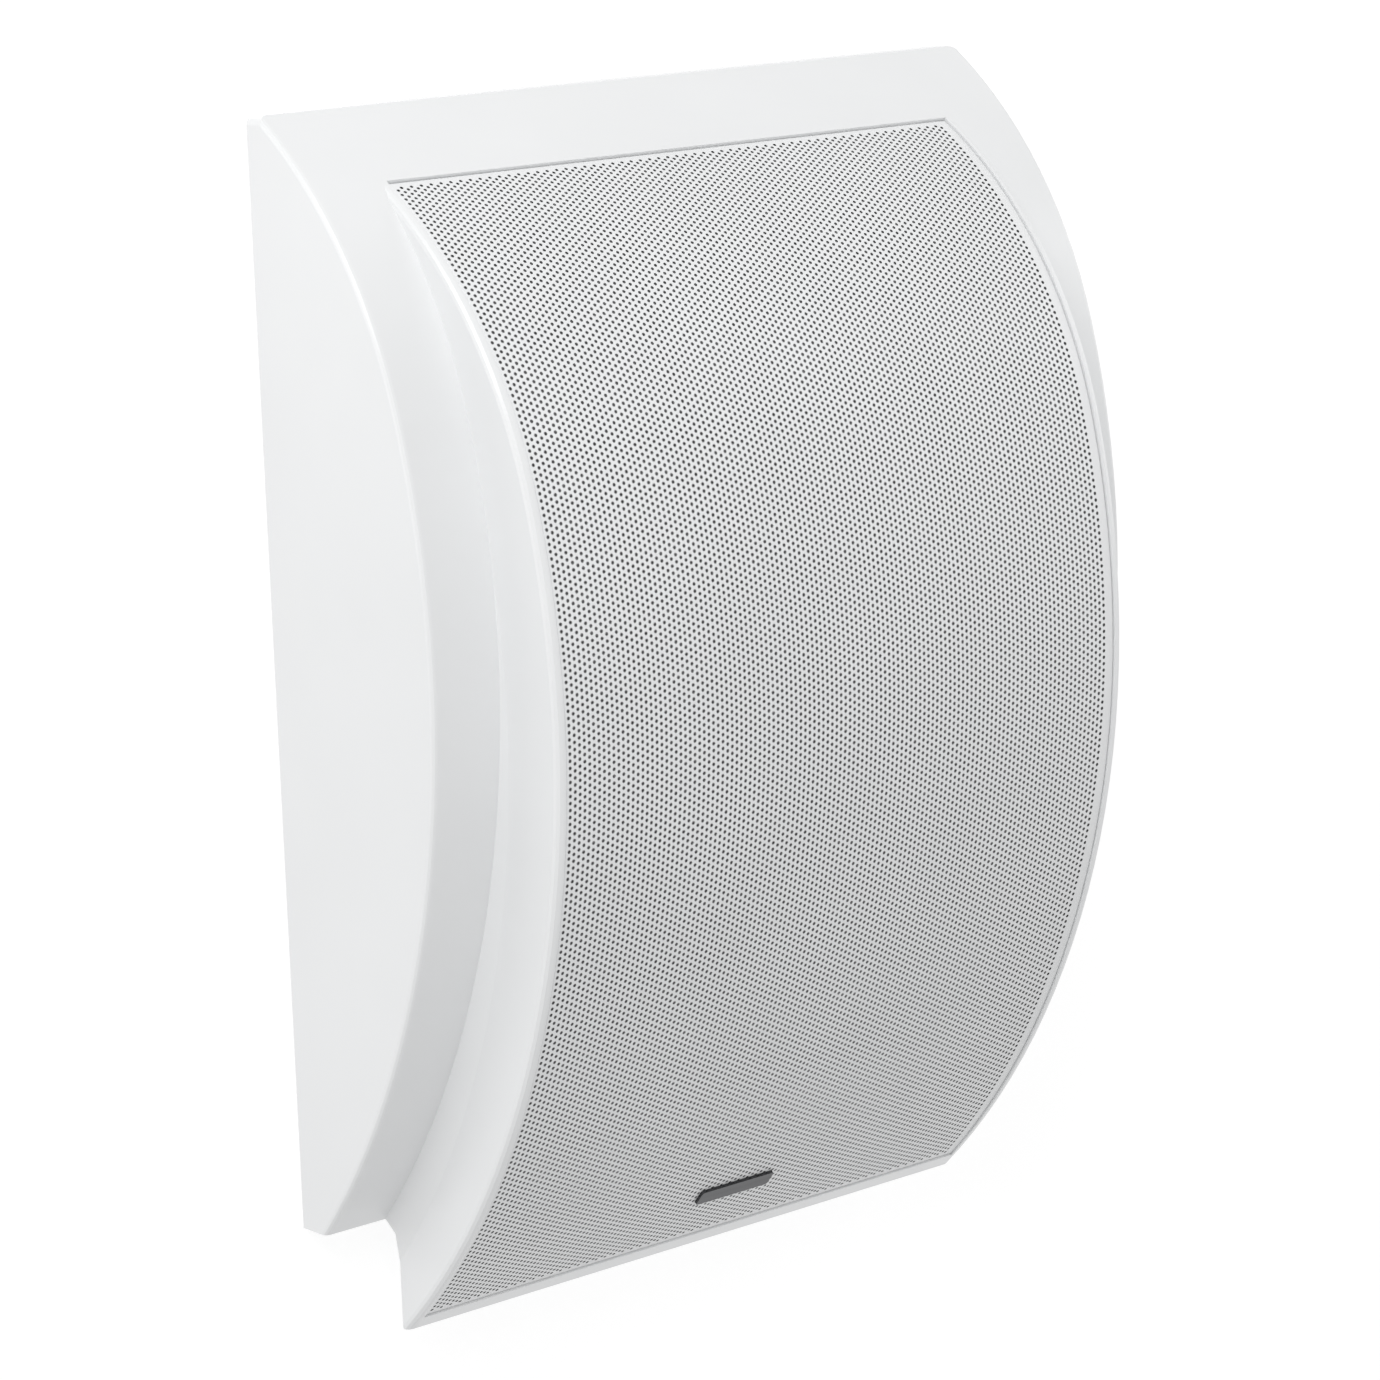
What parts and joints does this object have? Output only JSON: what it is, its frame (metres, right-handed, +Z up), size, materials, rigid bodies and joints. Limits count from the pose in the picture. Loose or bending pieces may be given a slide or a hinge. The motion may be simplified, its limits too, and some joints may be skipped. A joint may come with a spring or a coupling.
{
  "type": "wall speaker",
  "caption": "Wall speaker with a curved perforated grille in a raised frame, D-shaped cheeks, a skirt below, and a back panel with spring terminals and wall screw holes.",
  "frame": {"origin": "centre of the four wall screw holes, on the wall plane", "axes": "+X to its right seen from the front, -Y out of the front, +Z up; the wall plane is y = 0"},
  "size_m": [0.27, 0.098, 0.36],
  "materials": {
    "shell_white": "glossy moulded white",
    "grille_paint": "satin powder coat on perforated sheet",
    "acoustic_cloth": "thin black open weave",
    "badge_silver": "satin",
    "panel_white": "fine texture",
    "seal_foam": "closed-cell foam",
    "zinc_steel": "zinc plated",
    "basket_black": "satin black paint",
    "gasket_black": "matt",
    "surround_rubber": "matt",
    "cone_paper": "pressed paper",
    "coil_copper": "enamelled copper wire",
    "spider_cloth": "resin-soaked weave",
    "ferrite": "ground ferrite",
    "fibre_board": "pressed fibre",
    "faceplate_black": "fine texture",
    "dome_silk": "coated silk",
    "board_green": "solder resist",
    "bobbin_black": "moulded",
    "can_blue": "sleeved",
    "can_yellow": "film wrap",
    "resistor_white": "unglazed",
    "wadding": "polyester wadding",
    "cup_black": "fine texture",
    "lever_red": "moulded",
    "lever_black": "moulded",
    "spring_steel": "bright",
    "lead_cover": "soft insulation, satin"
  },
  "bodies": {
    "cabinet": {"front_shell": "shell_white", "grille": "grille_paint", "grille_cloth": "acoustic_cloth", "badge": "badge_silver", "back_panel": "panel_white", "panel_seal": "seal_foam", "panel_screws": "zinc_steel", "woofer_basket": "basket_black", "woofer_gasket": "gasket_black", "woofer_surround": "surround_rubber", "woofer_spider": "spider_cloth", "woofer_top_plate": "zinc_steel", "woofer_magnet": "ferrite", "woofer_yoke": "zinc_steel", "woofer_tag_strip": "fibre_board", "woofer_screws": "basket_black", "tweeter_faceplate": "faceplate_black", "tweeter_surround": "surround_rubber", "tweeter_top_plate": "zinc_steel", "tweeter_magnet": "ferrite", "tweeter_yoke": "zinc_steel", "tweeter_screws": "basket_black", "crossover_board": "board_green", "inductor_bobbin": "bobbin_black", "inductor_winding": "coil_copper", "capacitor_large": "can_blue", "capacitor_small": "can_yellow", "crossover_resistor": "resistor_white", "board_screws": "zinc_steel", "damping_pad_left": "wadding", "damping_pad_right": "wadding", "terminal_cup": "cup_black", "cup_screws": "zinc_steel", "terminal_spring_red": "spring_steel", "terminal_spring_black": "spring_steel", "terminal_lugs": "zinc_steel", "tweeter_tag_strip": "fibre_board", "cup_leads": "lead_cover", "woofer_leads": "lead_cover", "tweeter_leads": "lead_cover"},
    "woofer_diaphragm": {"woofer_cone": "cone_paper", "woofer_dust_cap": "cone_paper", "woofer_voice_coil": "coil_copper"},
    "tweeter_diaphragm": {"tweeter_dome": "dome_silk", "tweeter_voice_coil": "coil_copper"},
    "lever_red": {"terminal_lever_red": "lever_red"},
    "lever_black": {"terminal_lever_black": "lever_black"}
  },
  "joints": [
    {"name": "woofer_stroke", "type": "slide", "parent": "cabinet", "child": "woofer_diaphragm", "axis": [0, -1, 0], "range_m": [-0.003, 0.003], "stiffness_N_per_m": 1500, "deforming": ["woofer_surround", "woofer_spider"]},
    {"name": "tweeter_stroke", "type": "slide", "parent": "cabinet", "child": "tweeter_diaphragm", "axis": [0, -1, 0], "range_m": [-0.0003, 0.0003], "stiffness_N_per_m": 400, "deforming": ["tweeter_surround"]},
    {"name": "lever_red_swing", "type": "hinge", "parent": "cabinet", "child": "lever_red", "pos_m": [-0.013, -0.0135, -0.089], "axis": [-1, 0, 0], "range_deg": [0, 12], "stiffness_Nm_per_rad": 0.25, "springref_deg": -8.59, "deforming": ["terminal_spring_red"]},
    {"name": "lever_black_swing", "type": "hinge", "parent": "cabinet", "child": "lever_black", "pos_m": [0.013, -0.0135, -0.089], "axis": [-1, 0, 0], "range_deg": [0, 12], "stiffness_Nm_per_rad": 0.25, "springref_deg": -8.59, "deforming": ["terminal_spring_black"]}
  ]
}
